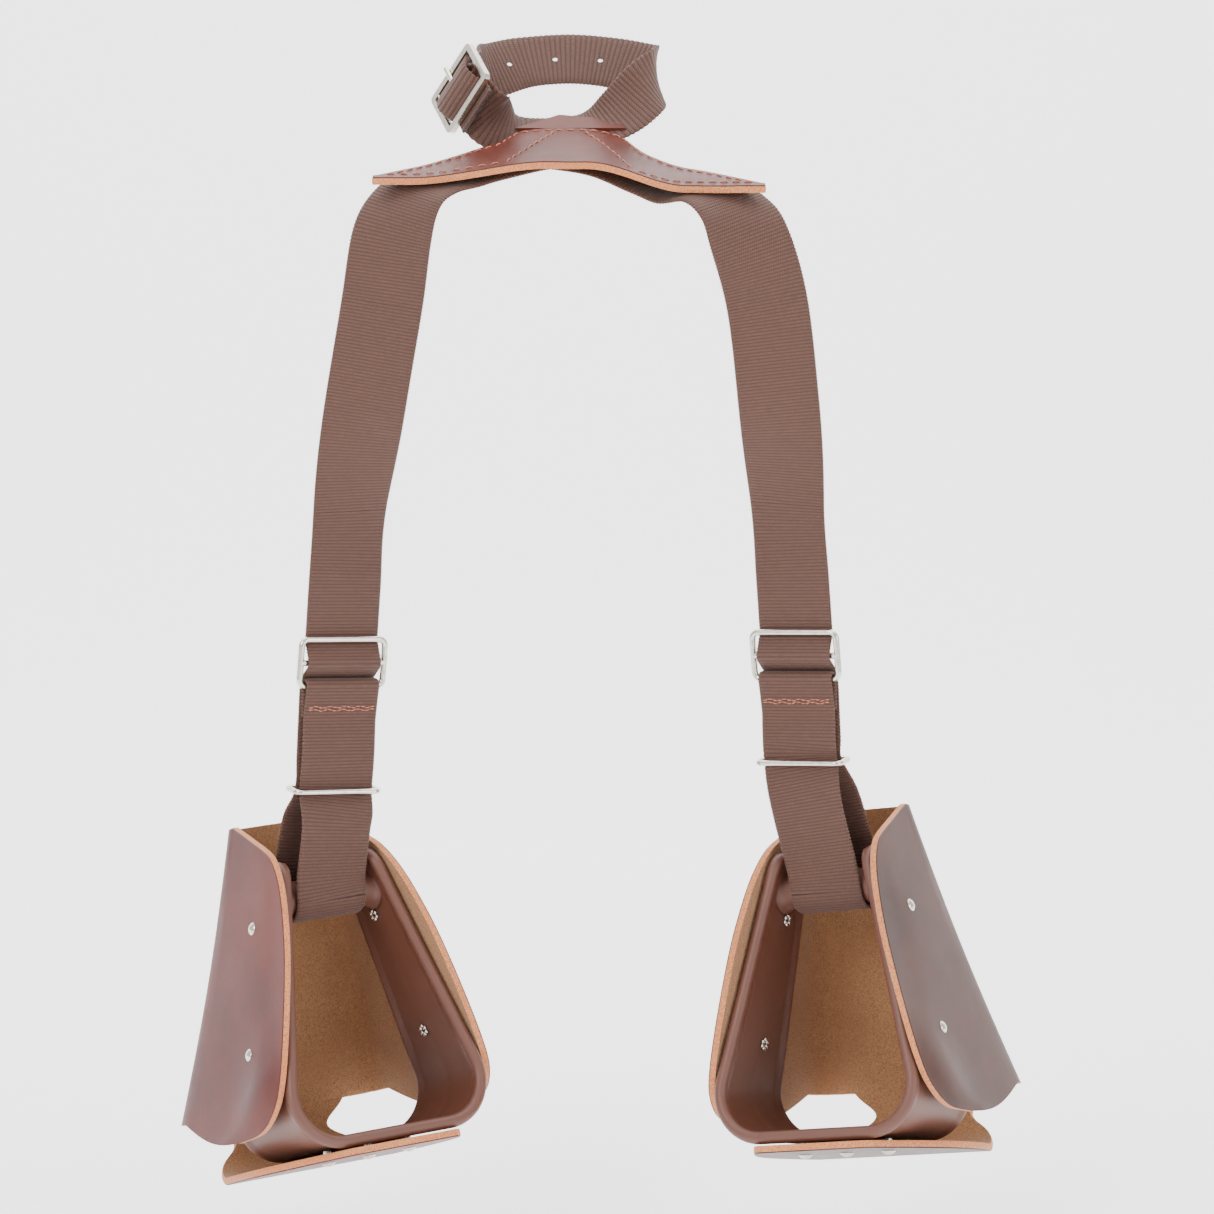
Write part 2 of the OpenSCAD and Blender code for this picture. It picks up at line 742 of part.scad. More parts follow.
ring_route = [
    [[-4, -35, -41], [0.6, -0.79, -0.12]],
    [[9, -24, -38], [0.62, -0.76, -0.18]],
    [[20, -15, -29.5], [0.62, -0.66, -0.4]],
    [[33, -8, -21], [0.58, -0.4, -0.7]],
    [[44, -1, -12], [0.4, -0.2, -0.9]],
    [[50, 10, -5], [0.1, -0.1, -0.99]],
    [[46, 24, 0], [-0.05, -0.3, -0.95]],
    [[26, 35, 1], [-0.06, -0.5, -0.86]],
    [[0, 38, 1], [0, -0.55, -0.83]],
    [[-26, 34, 2], [0.06, -0.5, -0.86]],
    [[-45, 20, 3], [0.1, -0.3, -0.95]],
    [[-54, 2, 2], [-0.2, 0.1, -0.97]],
    [[-59, -10, -1], [-0.45, 0.35, -0.82]]
];

// The buckle's own frame: X along the strap, Y across it, Z outwards
buckle_at = [-60, -24, -9];
buckle_x = unit([0.35, -0.7, -0.56]);
buckle_y = square_to([-0.53, 0.41, -0.84], buckle_x);
buckle_z = -cross(buckle_x, buckle_y);
function buckle_point(v) = buckle_at + buckle_x * v[0] + buckle_y * v[1] + buckle_z * v[2];
buckle_half_x = 13;
buckle_half_y = horn_strap_width / 2 + 4;
buckle_bar = 3.4;

fold_r = buckle_bar / 2 + fit + horn_strap_thick / 2;
tail_z = fold_r + horn_strap_thick + 2 * fit;
under_z = -buckle_bar / 2 - horn_strap_thick / 2 - fit;
tail_route = [
    [buckle_point([-buckle_half_x, 0, under_z]), buckle_y],
    [buckle_point([-buckle_half_x / 2, 0, 2.4]), buckle_y],
    [buckle_point([0, 0, tail_z]), buckle_y],
    [buckle_point([buckle_half_x / 2, 0, 4]), buckle_y],
    [buckle_point([buckle_half_x, 0, under_z]), buckle_y],
    [buckle_point([buckle_half_x + 6, 0, under_z]), buckle_y]
];

// Adjusting holes
hole_pitch = 25.4;
hole_diameter = 4.8;

module horn_strap() {
    color([0.43, 0.28, 0.22])
        difference() {
            band(smooth(concat(ring_route, tail_route), 4), horn_strap_width, horn_strap_thick);
            prong_slit();
            for (x = [-hole_pitch, 0, hole_pitch])
                translate([x, 38, 0])
                    rotate([-56, 0, 0])
                        rotate([90, 0, 0])
                            cylinder(d = hole_diameter, h = 30, center = true, $fn = 24);
        }
}

// The fixed end folds round the middle bar and is sewn back on itself before the yoke
function buckle_arc(from, to, count) = [
    for (i = [0:count]) let (a = from + (to - from) * i / count)
        [buckle_point([-fold_r * cos(a), 0, fold_r * sin(a)]), buckle_y]
];
base_route = [
    [[-8, -33, -43.6], [-0.6, -0.79, -0.12]],
    [[-22, -25, -36.5], [-0.65, -0.7, -0.3]],
    [[-35, -29, -29.5], [-0.65, -0.45, -0.6]],
    [buckle_point([buckle_half_x + 8, 0, under_z - 3 * horn_strap_thick]), [-0.6, 0.05, -0.8]],
    [buckle_point([buckle_half_x - 3, 0, under_z - 1.6 * horn_strap_thick]), buckle_y],
    [buckle_point([4, 0, -fold_r - 0.6]), buckle_y]
];

module horn_strap_base() {
    color([0.43, 0.28, 0.22])
        difference() {
            band(concat(smooth(base_route, 4), buckle_arc(-100, 60, 8)), horn_strap_width, horn_strap_thick);
            in_buckle()
                cube([4 * fold_r, prong_wire + 1.2, 6 * fold_r], center = true);
        }
}

module in_buckle() {
    multmatrix([
        [buckle_x[0], buckle_y[0], buckle_z[0], buckle_at[0]],
        [buckle_x[1], buckle_y[1], buckle_z[1], buckle_at[1]],
        [buckle_x[2], buckle_y[2], buckle_z[2], buckle_at[2]],
        [0, 0, 0, 1]
    ])
        children();
}

// Flat cast frame with a middle bar
buckle_round = 3;
module buckle_corners(half_x, half_y, r) {
    square([2 * half_x, 2 * (half_y - r)], center = true);
    square([2 * (half_x - r), 2 * half_y], center = true);
    for (x = [-1, 1], y = [-1, 1])
        translate([x * (half_x - r), y * (half_y - r)])
            circle(r);
}
module horn_buckle_frame() {
    half_bar = buckle_bar / 2;
    color([0.8, 0.79, 0.75])
        in_buckle()
            translate([0, 0, -half_bar])
                linear_extrude(buckle_bar)
                    difference() {
                        buckle_corners(buckle_half_x + half_bar, buckle_half_y + half_bar, buckle_round);
                        for (m = [0, 1])
                            mirror([m, 0])
                                translate([half_bar, -buckle_half_y + half_bar])
                                    square([buckle_half_x - buckle_bar, 2 * buckle_half_y - buckle_bar]);
                    }
}

prong_wire = 2.8;
prong_z = buckle_bar / 2 + prong_wire / 2;

// The slit that lets the prong through the webbing
module prong_slit() {
    in_buckle()
        translate([-buckle_half_x + 2, -prong_wire / 2 - fit, -buckle_half_x])
            cube([buckle_half_x, prong_wire + 2 * fit, 2 * buckle_half_x]);
}

module horn_buckle_prong() {
    color([0.8, 0.79, 0.75])
        in_buckle() {
            translate([-buckle_half_x - prong_wire, 0, prong_z])
                rotate([0, 90, 0])
                    cylinder(d = prong_wire, h = buckle_half_x);
            translate([-buckle_half_x - prong_wire, 0, prong_z])
                sphere(d = prong_wire);
        }
}

yoke_leather();
yoke_tab();
horn_strap();
horn_strap_base();
horn_buckle_frame();
horn_buckle_prong();
yoke_webbing(LEFT);  // left_yoke_webbing
strap_bend(LEFT);  // left_strap_bend
strap(LEFT);  // left_strap
strap_lower(LEFT);  // left_strap_lower
strap_roll(LEFT);  // left_strap_roll
sewn_end(LEFT);  // left_sewn_end
slide_frame(LEFT);  // left_slide_frame
loop_front(LEFT);  // left_loop_front
loop_back(LEFT);  // left_loop_back
loop_wrap(LEFT);  // left_loop_wrap
keeper(LEFT);  // left_keeper
stirrup_frame(LEFT);  // left_stirrup_frame
hood(LEFT);  // left_hood
side_rivets(LEFT);  // left_side_rivets
tread_rivets(LEFT);  // left_tread_rivets
yoke_webbing(RIGHT);  // right_yoke_webbing
strap_bend(RIGHT);  // right_strap_bend
strap(RIGHT);  // right_strap
strap_lower(RIGHT);  // right_strap_lower
strap_roll(RIGHT);  // right_strap_roll
sewn_end(RIGHT);  // right_sewn_end
slide_frame(RIGHT);  // right_slide_frame
loop_front(RIGHT);  // right_loop_front
loop_back(RIGHT);  // right_loop_back
loop_wrap(RIGHT);  // right_loop_wrap
keeper(RIGHT);  // right_keeper
stirrup_frame(RIGHT);  // right_stirrup_frame
hood(RIGHT);  // right_hood
side_rivets(RIGHT);  // right_side_rivets
tread_rivets(RIGHT);  // right_tread_rivets
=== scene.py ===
# Child's hooded stirrups: webbing, leather, moulded frames and nickel hardware round the fixed frame.
import math
import random

import bmesh
import bpy
from mathutils import Matrix, Vector
from mathutils.noise import noise


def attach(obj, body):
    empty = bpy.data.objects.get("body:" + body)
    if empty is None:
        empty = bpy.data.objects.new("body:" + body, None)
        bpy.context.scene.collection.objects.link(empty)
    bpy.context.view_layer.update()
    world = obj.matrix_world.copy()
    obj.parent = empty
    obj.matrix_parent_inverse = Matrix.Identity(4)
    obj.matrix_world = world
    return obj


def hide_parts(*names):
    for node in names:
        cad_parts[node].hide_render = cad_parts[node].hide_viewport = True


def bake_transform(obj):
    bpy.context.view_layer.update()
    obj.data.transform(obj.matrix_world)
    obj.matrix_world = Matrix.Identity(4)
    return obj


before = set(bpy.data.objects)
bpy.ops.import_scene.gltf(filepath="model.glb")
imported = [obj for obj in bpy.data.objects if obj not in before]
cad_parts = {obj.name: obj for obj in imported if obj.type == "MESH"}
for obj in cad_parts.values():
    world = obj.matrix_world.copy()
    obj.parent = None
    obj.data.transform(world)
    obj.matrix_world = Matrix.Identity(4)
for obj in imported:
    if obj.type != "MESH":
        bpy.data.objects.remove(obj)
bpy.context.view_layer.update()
MM = 0.001
SIDES = (("left", 0, -1), ("right", 1, 1))


# ---------- Node helpers ----------

class Net:
    """Places nodes in a tree; a value may be a number, a colour or another node's socket."""

    def __init__(self, tree):
        self.tree = tree

    def put(self, socket, value):
        if isinstance(value, bpy.types.NodeSocket):
            self.tree.links.new(value, socket)
        elif value is not None:
            socket.default_value = value

    def node(self, kind, props=None, **inputs):
        n = self.tree.nodes.new(kind)
        for key, value in (props or {}).items():
            setattr(n, key, value)
        for key, value in inputs.items():
            self.put(n.inputs[key.replace("_", " ")], value)
        return n

    def math(self, op, a, b=None, c=None, clamp=False):
        n = self.tree.nodes.new("ShaderNodeMath")
        n.operation, n.use_clamp = op, clamp
        for socket, value in zip(n.inputs, (a, b, c)):
            self.put(socket, value)
        return n.outputs[0]

    def mix(self, factor, a, b):
        n = self.tree.nodes.new("ShaderNodeMix")
        n.data_type = "RGBA"
        self.put(n.inputs[0], factor)
        self.put(n.inputs[6], a)
        self.put(n.inputs[7], b)
        return n.outputs[2]

    def noise(self, vector, scale, detail=3.0, rough=0.55):
        n = self.node("ShaderNodeTexNoise", Vector=vector, Scale=scale, Detail=detail, Roughness=rough)
        return n.outputs[0]

    def band(self, value, low, high):
        n = self.node("ShaderNodeMapRange", {"interpolation_type": "SMOOTHSTEP"}, Value=value)
        n.inputs["From Min"].default_value, n.inputs["From Max"].default_value = low, high
        return n.outputs[0]


def linear(r, g, b):
    """A colour in 0-255 as the shader wants it."""
    return tuple(((c / 255 + 0.055) / 1.055) ** 2.4 if c > 10 else c / 255 / 12.92
                 for c in (r, g, b)) + (1.0,)


def group(name, inputs, outputs, build):
    tree = bpy.data.node_groups.new(name, "ShaderNodeTree")
    for label, kind in inputs:
        tree.interface.new_socket(label, in_out="INPUT", socket_type="NodeSocket" + kind)
    for label, kind in outputs:
        tree.interface.new_socket(label, in_out="OUTPUT", socket_type="NodeSocket" + kind)
    net = Net(tree)
    source = tree.nodes.new("NodeGroupInput")
    sink = tree.nodes.new("NodeGroupOutput")
    for label, value in build(net, source.outputs).items():
        net.put(sink.inputs[label], value)
    return tree


def build_ribs(net, put):
    """Webbing: cross ribs counted along U, yarns counted along V; painted shade in the gaps between ribs, a
    painted highlight on the yarn crests.
    """
    parts = net.node("ShaderNodeSeparateXYZ", Vector=put["Ribs"]).outputs
    u, v = parts[0], parts[1]
    crest = net.math("ABSOLUTE", net.math("SINE", net.math("MULTIPLY", u, math.pi)))
    step = net.math("FLOOR", u)
    slant = net.math("MULTIPLY", net.math("FRACT", u), 0.55)
    along = net.math("ADD", net.math("ADD", v, net.math("MULTIPLY", step, 0.5)), slant)
    yarn = net.math("ABSOLUTE", net.math("SINE", net.math("MULTIPLY", along, math.pi)))
    other = net.math("ABSOLUTE", net.math("COSINE", net.math("MULTIPLY", along, math.pi)))
    fuzz = net.noise(put["Place"], 900.0)
    # painted shade: this gap mask darkens the hollows between ribs towards the gap colour
    gap = net.math("SUBTRACT", 1.0, net.band(crest, 0.12, 0.62))
    dots = net.math("MULTIPLY", net.band(other, 0.72, 0.95), net.band(crest, 0.62, 0.25))
    body = net.mix(gap, put["Yarn"], put["Gap"])
    # painted highlight: the yarn crests are mixed towards the Light colour; the dots below reuse that colour
    # for the light yarn dots in the gaps
    highlight_mask = net.math("MULTIPLY", net.band(yarn, 0.35, 0.95), net.band(crest, 0.45, 0.95))
    colour = net.mix(net.math("MULTIPLY", highlight_mask, net.band(fuzz, 0.3, 0.75)), body, put["Light"])
    colour = net.mix(net.math("MULTIPLY", dots, 0.55), colour, put["Light"])
    height = net.math("ADD", net.math("MULTIPLY", yarn, 0.7), net.math("MULTIPLY", crest, 0.6))
    return {"Color": colour, "Height": net.math("ADD", height, net.math("MULTIPLY", fuzz, 0.3))}


def build_grain(net, put):
    """Smooth leather: pores, faint creases and slow patches of colour."""
    place = put["Place"]
    cells = net.node("ShaderNodeTexVoronoi", {"feature": "DISTANCE_TO_EDGE"},
                     Vector=place, Scale=850.0).outputs[0]
    pores = net.band(net.noise(place, 1500.0, 2.0), 0.6, 0.72)
    patch = net.noise(place, 14.0, 4.0, 0.6)
    streak = net.noise(place, 95.0, 5.0, 0.65)
    tone = net.math("ADD", net.math("MULTIPLY", patch, 0.75), net.math("MULTIPLY", streak, 0.25))
    colour = net.mix(net.band(tone, 0.36, 0.64), put["Dark"], put["Light"])
    colour = net.mix(net.math("MULTIPLY", pores, 0.25), colour, put["Pore"])
    height = net.math("SUBTRACT", net.math("MINIMUM", net.math("MULTIPLY", cells, 6.0), 1.0),
                      net.math("MULTIPLY", pores, 0.7))
    rough = net.math("ADD", 0.30, net.math("MULTIPLY", streak, 0.2))
    return {"Color": colour, "Height": net.math("ADD", height, streak), "Rough": rough}


def build_nap(net, put):
    """Suede and raw edges: a speckled nap."""
    place = put["Place"]
    fine = net.noise(place, 1100.0, 4.0, 0.7)
    broad = net.noise(place, 30.0, 3.0)
    colour = net.mix(net.band(fine, 0.36, 0.62), put["Dark"], put["Light"])
    colour = net.mix(net.math("MULTIPLY", net.band(broad, 0.42, 0.68), 0.45), colour, put["Warm"])
    return {"Color": colour, "Height": fine}


# In the webbing ribs, Gap is painted shade for the rib hollows and Light is the painted highlight colour for
# the crests.
RIBS = group("webbing ribs", [("Ribs", "Vector"), ("Place", "Vector"), ("Yarn", "Color"), ("Gap", "Color"),
                              ("Light", "Color")], [("Color", "Color"), ("Height", "Float")], build_ribs)
GRAIN = group("leather grain",
              [("Place", "Vector"), ("Dark", "Color"), ("Light", "Color"), ("Pore", "Color")],
              [("Color", "Color"), ("Height", "Float"), ("Rough", "Float")], build_grain)
NAP = group("raw nap", [("Place", "Vector"), ("Dark", "Color"), ("Light", "Color"), ("Warm", "Color")],
            [("Color", "Color"), ("Height", "Float")], build_nap)


def finish(name, rough, make, bump=0.3, reach=0.0003, **constants):
    """A material: make(net, place) gives the colour, the height and perhaps the roughness."""
    m = bpy.data.materials.new(name)
    m.use_nodes = True
    net = Net(m.node_tree)
    shader = m.node_tree.nodes["Principled BSDF"]
    place = net.node("ShaderNodeTexCoord").outputs["Object"]
    out = make(net, place)
    net.put(shader.inputs["Base Color"], out["Color"])
    net.put(shader.inputs["Roughness"], out.get("Rough", rough))
    if out.get("Height") is not None:
        relief = net.node("ShaderNodeBump", Height=out["Height"])
        relief.inputs["Strength"].default_value = bump
        relief.inputs["Distance"].default_value = reach
        net.put(shader.inputs["Normal"], relief.outputs[0])
    for key, value in constants.items():
        shader.inputs[key.replace("_", " ")].default_value = value
    return m


def use(net, tree, **inputs):
    n = net.tree.nodes.new("ShaderNodeGroup")
    n.node_tree = tree
    for key, value in inputs.items():
        net.put(n.inputs[key], value)
    return {o.name: o for o in n.outputs}


# The gap colour is painted shade for the hollows between the ribs.
def webbing(name, yarn, gap, light):
    def make(net, place):
        ribs = net.node("ShaderNodeUVMap", {"uv_map": "ribs"}).outputs[0]
        return use(net, RIBS, Ribs=ribs, Place=place, Yarn=linear(*yarn), Gap=linear(*gap),
                   Light=linear(*light))
    return finish(name, 0.72, make, 0.55, 0.0003, Sheen_Weight=0.12)


def leather(name, dark, light, pore):
    def make(net, place):
        return use(net, GRAIN, Place=place, Dark=linear(*dark), Light=linear(*light), Pore=linear(*pore))
    return finish(name, 0.48, make, 0.22, 0.0001, Specular_IOR_Level=0.2)


def nap(name, dark, light, warm, bump=0.6):
    def make(net, place):
        return use(net, NAP, Place=place, Dark=linear(*dark), Light=linear(*light), Warm=linear(*warm))
    return finish(name, 0.95, make, bump, 0.0004, Sheen_Weight=0.15)


# Webbing colours: yarn, painted shade for the rib gaps, painted highlight for the crests.
WEB = webbing("brown ribbed webbing", (76, 45, 34), (30, 16, 10), (106, 67, 50))
YOKE = leather("chestnut yoke leather", (80, 38, 31), (100, 50, 40), (50, 24, 20))
BURGUNDY = leather("burgundy hood leather", (76, 34, 31), (98, 46, 40), (48, 20, 18))
BROWN = leather("dark brown hood leather", (58, 35, 29), (76, 46, 38), (38, 22, 18))
SUEDE = nap("tan suede side", (132, 92, 60), (170, 124, 84), (150, 102, 66))
EDGE = nap("raw cut edge", (168, 96, 54), (212, 140, 92), (190, 112, 66), 0.9)


def make_moulding(net, place):
    slow = net.noise(place, 20.0)
    fine = net.noise(place, 1700.0, 2.0)
    colour = net.mix(slow, linear(84, 48, 37), linear(100, 60, 47))
    rough = net.math("ADD", 0.40, net.math("MULTIPLY", net.noise(place, 60.0), 0.14))
    return {"Color": colour, "Height": fine, "Rough": rough}


def make_nickel(net, place):
    rub = net.noise(place, 260.0, 5.0, 0.7)
    colour = net.mix(net.band(rub, 0.45, 0.75), linear(214, 208, 198), linear(186, 176, 164))
    return {"Color": colour, "Height": rub, "Rough": net.math("ADD", 0.12, net.math("MULTIPLY", rub, 0.16))}


def make_thread(net, place):
    twist = net.noise(place, 1400.0, 2.0)
    colour = net.mix(net.band(twist, 0.35, 0.65), linear(150, 84, 66), linear(200, 128, 104))
    return {"Color": colour, "Height": twist}


MOULDING = finish("satin brown moulding", 0.45, make_moulding, 0.08, 0.0001)
NICKEL = finish("nickel plate", 0.2, make_nickel, 0.04, 0.0001, Metallic=1.0)
THREAD = finish("salmon thread", 0.7, make_thread, 0.4, 0.0002)


# ---------- Mesh helpers ----------

def add_mesh(name, points, faces, materials, indices=None, uvs=None, sharp=40):
    mesh = bpy.data.meshes.new(name)
    mesh.from_pydata([Vector(p) * MM for p in points], [], faces)
    for m in materials:
        mesh.materials.append(m)
    mesh.polygons.foreach_set("use_smooth", [True] * len(mesh.polygons))
    if indices:
        mesh.polygons.foreach_set("material_index", indices)
    if uvs:
        layer = mesh.uv_layers.new(name="ribs")
        flat = []
        for loop in mesh.loops:
            flat.extend(uvs[loop.vertex_index])
        layer.data.foreach_set("uv", flat)
    mesh.update()
    mesh.set_sharp_from_angle(angle=math.radians(sharp))
    o = bpy.data.objects.new(name, mesh)
    bpy.context.scene.collection.objects.link(o)
    return o


def settle(o, body, slot, *nodes):
    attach(o, body)
    if nodes:
        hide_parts(*nodes)
    return o


def spline(points, steps):
    """The same curve that part of the strap follows in the frame, as [(point, width direction)]."""
    out = []
    pick = lambda i: points[max(0, min(len(points) - 1, i))]
    for i in range(len(points) - 1):
        for k in range(steps):
            t = k / steps
            row = []
            for c in (0, 1):
                a, b, d, e = (Vector(pick(i + n)[c]) for n in (-1, 0, 1, 2))
                row.append(0.5 * (2 * b + (d - a) * t + (2 * a - 5 * b + 4 * d - e) * t * t
                                  + (3 * b - a - 3 * d + e) * t ** 3))
            out.append(row)
    out.append([Vector(points[-1][0]), Vector(points[-1][1])])
    return out


RIB = 1.86
YARN = 1.25
ACROSS = (-0.985, -0.93, -0.7, -0.35, 0.0, 0.35, 0.7, 0.93, 0.985)


def band(name, route, width, thick, samples=6, rib=None, lead=None, trail=None):
    """Ribbed webbing along a route: each rib is real relief, and the selvedges are scalloped by the ribs."""
    length = [0.0]
    for a, b in zip(route, route[1:]):
        length.append(length[-1] + (b[0] - a[0]).length)
    ribs = max(2, round(length[-1] / (rib or RIB)))
    chain = [lead or route[0][0]] + [p for p, _ in route] + [trail or route[-1][0]]
    tangents = [(chain[k + 2] - chain[k]).normalized() for k in range(len(route))]
    count = ribs * samples
    points, uvs = [], []
    at = 0
    per = 2 * len(ACROSS) + 2
    for i in range(count + 1):
        s = length[-1] * i / count
        while at < len(length) - 2 and length[at + 1] < s:
            at += 1
        f = (s - length[at]) / max(1e-9, length[at + 1] - length[at])
        p = route[at][0].lerp(route[at + 1][0], f)
        w = route[at][1].lerp(route[at + 1][1], f)
        t = tangents[at].lerp(tangents[at + 1], f).normalized()
        w = (w - t * w.dot(t)).normalized()
        n = t.cross(w)
        crest = abs(math.sin(math.pi * i / samples)) ** 0.8
        half_t = thick / 2 * (0.72 + 0.28 * crest)
        half_w = width / 2 - 0.45 * (1 - crest)
        u = i / samples
        ring = [(x, 1) for x in ACROSS] + [(1, 0)] + [(x, -1) for x in reversed(ACROSS)] + [(-1, 0)]
        for x, side in ring:
            edge = 0.55 if abs(x) > 0.96 else 1.0
            points.append(p + w * (x * half_w) + n * (side * half_t * edge))
            uvs.append((u, x * width / 2 / YARN + 40))
    faces = [[i * per + k, i * per + (k + 1) % per, (i + 1) * per + (k + 1) % per, (i + 1) * per + k]
             for i in range(count) for k in range(per)]
    faces.append(list(range(per - 1, -1, -1)))
    faces.append([count * per + k for k in range(per)])
    return add_mesh(name, points, faces, [WEB], uvs=uvs, sharp=70)


def sheet(name, outer, inner, materials, bulge=0.35, fuzz=0.12, seed=3):
    """A leather piece from two grids of points: face, suede side and a rounded, slightly furry cut edge."""
    local = random.Random(seed)
    rows, cols = len(outer), len(outer[0])
    points = [p for r in outer for p in r] + [p for r in inner for p in r]
    total = rows * cols
    quads, marks = [], []
    for i in range(rows - 1):
        for j in range(cols - 1):
            a = i * cols + j
            quads.append([a, a + 1, a + cols + 1, a + cols])
            marks.append(0)
            quads.append([total + a + cols, total + a + cols + 1, total + a + 1, total + a])
            marks.append(1)
    loop = ([(0, j) for j in range(cols)] + [(i, cols - 1) for i in range(1, rows)]
            + [(rows - 1, j) for j in range(cols - 2, -1, -1)] + [(i, 0) for i in range(rows - 2, 0, -1)])
    strips = []
    for i, j in loop:
        a, b = outer[i][j], inner[i][j]
        inside = outer[min(max(i, 1), rows - 2)][min(max(j, 1), cols - 2)]
        away = (a - inside)
        away = (away - (b - a).normalized() * away.dot((b - a).normalized())).normalized()
        chain = [i * cols + j]
        for k in (0.16, 0.5, 0.84):
            chain.append(len(points))
            shake = fuzz * local.uniform(-1, 1) if k > 0.2 else 0
            points.append(a.lerp(b, k) + away * (bulge * math.sin(math.pi * k) + shake))
        chain.append(total + i * cols + j)
        strips.append(chain)
    for one, two in zip(strips, strips[1:] + strips[:1]):
        for k in range(4):
            quads.append([two[k], one[k], one[k + 1], two[k + 1]])
            marks.append(0 if k == 0 else 2)
    return add_mesh(name, points, quads, materials, marks, sharp=50)


def thread(name, path, normals, body, pitch=6.4, long=4.6, radius=0.42, seed=5):
    """A row of machine stitches along a path that lies on a surface."""
    local = random.Random(seed)
    lengths = [0.0]
    for a, b in zip(path, path[1:]):
        lengths.append(lengths[-1] + (b - a).length)

    def on(s):
        k = 0
        while k < len(lengths) - 2 and lengths[k + 1] < s:
            k += 1
        f = (s - lengths[k]) / max(1e-9, lengths[k + 1] - lengths[k])
        return path[k].lerp(path[k + 1], f), normals[k].lerp(normals[k + 1], f).normalized()

    count = max(1, int(lengths[-1] // pitch))
    gap = lengths[-1] / count
    points, faces = [], []
    rings, around = 7, 6
    for i in range(count):
        first = gap * i + (gap - long) / 2
        base = len(points)
        skew = local.uniform(-0.14, 0.14)
        for r in range(rings):
            f = r / (rings - 1)
            p, n = on(max(0, min(lengths[-1], first + long * f)))
            q = on(max(0, min(lengths[-1], first + long * f + 0.3)))[0]
            t = (q - p)
            t = t.normalized() if t.length > 1e-6 else Vector((1, 0, 0))
            side = n.cross(t).normalized()
            swell = radius * (0.75 + 0.25 * math.sin(math.pi * f))
            lift = radius * (1.7 * math.sin(math.pi * min(1, max(0, f))) ** 0.5 - 0.9)
            centre = p + n * lift + side * skew * (f - 0.5) * 4
            for k in range(around):
                a = math.tau * k / around
                points.append(centre + (side * math.cos(a) + n * math.sin(a)) * swell)
        for r in range(rings - 1):
            for k in range(around):
                faces.append([base + r * around + k, base + r * around + (k + 1) % around,
                              base + (r + 1) * around + (k + 1) % around, base + (r + 1) * around + k])
        faces.append([base + k for k in range(around - 1, -1, -1)])
        faces.append([base + (rings - 1) * around + k for k in range(around)])
    o = add_mesh(name, points, faces, [THREAD], sharp=180)
    return settle(o, body, "brown_webbing")


# ---------- Where things hang, in millimetres, as in the part's own source ----------

CROSSBAR_AT = (Vector((-138, -88, -449)), Vector((147, -88, -445)))
CROSSBAR_YAW, CROSSBAR_ROLL, PITCH = (34, -29), (0, -11), (-21, -16)
SLIDE_AT = (Vector((-125, -82, -319)), Vector((124, -82, -315)))
SLIDE_YAW, SLIDE_ROLL, KEEPER_DROP = (28, -26), (5, -5), (71, 59)
STRAP_W, STRAP_T, HORN_W, HORN_T, LEATHER = 44.5, 2.4, 31.8, 2.2, 4.2
FIT = 0.3
CROSSBAR_Z = 135


def turn(*steps):
    m = Matrix.Identity(3)
    for axis, angle in steps:
        m = m @ Matrix.Rotation(math.radians(angle), 3, axis)
    return m


SLIDE_TURN = [turn(("Z", SLIDE_YAW[s]), ("Y", SLIDE_ROLL[s])) for s in (0, 1)]
BAR_TURN = [turn(("Z", CROSSBAR_YAW[s]), ("Y", CROSSBAR_ROLL[s])) for s in (0, 1)]
STIRRUP_TURN = [turn(("Z", CROSSBAR_YAW[s]), ("Y", CROSSBAR_ROLL[s]), ("X", PITCH[s])) for s in (0, 1)]


def slide_point(s, *v):
    return SLIDE_AT[s] + SLIDE_TURN[s] @ Vector(v)


def bar_point(s, *v):
    return CROSSBAR_AT[s] + BAR_TURN[s] @ Vector(v)


def stirrup_point(s, x, y, z):
    return CROSSBAR_AT[s] + STIRRUP_TURN[s] @ Vector((x, y, z - CROSSBAR_Z))


# ---------- Yoke ----------

FRONT, REAR, SLOPE, DROOP, CROSS, ANGLE = -87, -18, 0.153, (8.8, 13), Vector((0, -41)), 22
HALF = 106


def smooth_step(t):
    t = max(0, min(1, t))
    return t * t * (3 - 2 * t)


def yoke_top(x, y):
    return (-31.3 + SLOPE * (y - REAR)
            - DROOP[0 if x < 0 else 1] * smooth_step((abs(x) - 8) / ((88, 64)[0 if x < 0 else 1] - 8)))


def yoke_rear(x):
    if abs(x) < 28:
        return REAR
    if abs(x) < 39:
        return REAR - 21 * (abs(x) - 28) / 11
    return REAR - 21 - (REAR - 21 - FRONT - 3) * ((abs(x) - 39) / (HALF - 39)) ** 1.25


